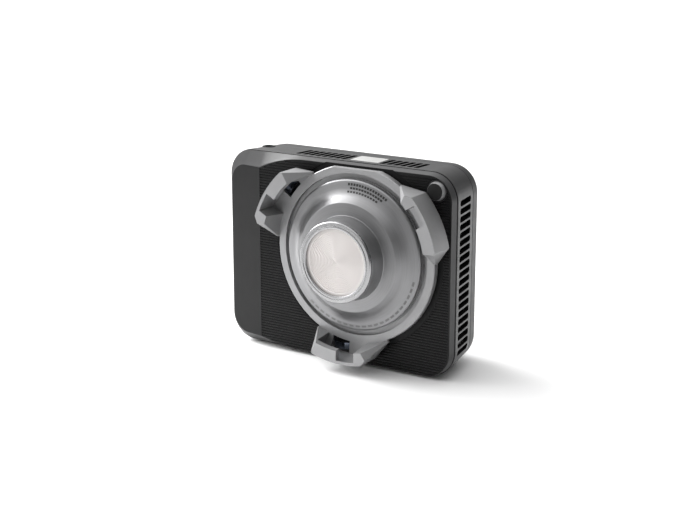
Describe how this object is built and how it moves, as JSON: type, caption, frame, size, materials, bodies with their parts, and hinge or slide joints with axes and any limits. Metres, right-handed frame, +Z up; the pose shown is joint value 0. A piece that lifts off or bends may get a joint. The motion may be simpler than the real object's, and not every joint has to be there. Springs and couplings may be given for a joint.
{
  "type": "fresnel spotlight",
  "caption": "Compact studio spotlight with a boxy ribbed body, a bayonet ring with claws, a bell hood and a round ribbed lens.",
  "frame": {"origin": "middle of the bounding box in X and Y, at the underside of the stand plate", "axes": "-Y the way the light shines, +X to the viewer's right when facing the lens, +Z up"},
  "size_m": [0.1662, 0.0926, 0.1284],
  "materials": {
    "shell_plastic": "fine matt",
    "housing_paint": "satin",
    "badge_metal": "satin",
    "cast_metal": "satin",
    "bright_metal": "polished",
    "spring_steel": "polished dark",
    "screw_steel": "bright",
    "dark_screws": "black oxide",
    "lens_glass": "clear, fine ribs",
    "gasket": "matt",
    "reflector": "polished",
    "ceramic": "matt",
    "phosphor": "smooth",
    "copper": "satin copper",
    "fins": "satin",
    "black_plastic": "satin",
    "button_plastic": "satin",
    "circuit_board": "solder mask",
    "winding": "tape",
    "capacitor_sleeve": "shrink sleeve",
    "display": "polished",
    "stand_metal": "satin",
    "brass": "satin",
    "dark_insert": "satin"
  },
  "bodies": {
    "housing": {"front_shell": "shell_plastic", "rear_cover": "shell_plastic", "main_housing": "housing_paint", "top_badge": "badge_metal", "mount_ring": "cast_metal", "inner_hood": "cast_metal", "lens_retaining_ring": "bright_metal", "leaf_spring_1": "spring_steel", "leaf_spring_2": "spring_steel", "leaf_spring_3": "spring_steel", "ring_screw_1": "screw_steel", "ring_screw_2": "screw_steel", "ring_screw_3": "screw_steel", "button_spring": "screw_steel", "lock_pin_spring": "screw_steel", "spring_bracket": "screw_steel", "service_port": "screw_steel", "brightness_encoder": "screw_steel", "colour_encoder": "screw_steel", "rear_screw_1": "dark_screws", "rear_screw_2": "dark_screws", "rear_screw_3": "dark_screws", "rear_screw_4": "dark_screws", "fresnel_lens": "lens_glass", "lens_gasket": "gasket", "reflector_cup": "reflector", "cob_holder": "ceramic", "cob_board": "ceramic", "cob_led": "phosphor", "heat_spreader": "copper", "heat_pipe_1": "copper", "heat_pipe_2": "copper", "heat_pipe_3": "copper", "driver_coil": "copper", "fin_stack": "fins", "fan_frame": "black_plastic", "fan_grille": "black_plastic", "button_collar": "black_plastic", "power_inlet": "black_plastic", "power_supply_board": "circuit_board", "control_board": "circuit_board", "transformer": "winding", "capacitor_1": "capacitor_sleeve", "capacitor_2": "capacitor_sleeve", "display_module": "display", "display_window": "display", "stand_plate": "stand_metal", "stand_insert": "brass", "top_thread_insert": "dark_insert"},
    "release": {"release_button": "button_plastic", "release_link": "screw_steel", "lock_pin": "screw_steel"},
    "fan": {"fan_rotor": "black_plastic"},
    "brightness_dial": {"brightness_knob": "black_plastic"},
    "colour_dial": {"colour_knob": "black_plastic"},
    "power_key": {"power_button": "black_plastic"},
    "mode_key": {"mode_button": "black_plastic"}
  },
  "joints": [
    {"name": "release_press", "type": "slide", "parent": "housing", "child": "release", "axis": [0, 1, 0], "range_m": [0, 0.0018], "stiffness_N_per_m": 900, "springref_m": -0.0012, "deforming": ["button_spring", "lock_pin_spring"]},
    {"name": "fan_spin", "type": "hinge", "parent": "housing", "child": "fan", "pos_m": [0.01735, 0.01925, 0.0643], "axis": [0, 1, 0], "continuous": true},
    {"name": "brightness_turn", "type": "hinge", "parent": "housing", "child": "brightness_dial", "pos_m": [-0.05615, 0.04225, 0.0743], "axis": [0, 1, 0], "continuous": true},
    {"name": "colour_turn", "type": "hinge", "parent": "housing", "child": "colour_dial", "pos_m": [-0.03515, 0.04225, 0.0743], "axis": [0, 1, 0], "continuous": true},
    {"name": "power_press", "type": "slide", "parent": "housing", "child": "power_key", "axis": [0, -1, 0], "range_m": [0, 0.001], "stiffness_N_per_m": 500, "springref_m": -0.001},
    {"name": "mode_press", "type": "slide", "parent": "housing", "child": "mode_key", "axis": [0, -1, 0], "range_m": [0, 0.001], "stiffness_N_per_m": 500, "springref_m": -0.001}
  ]
}
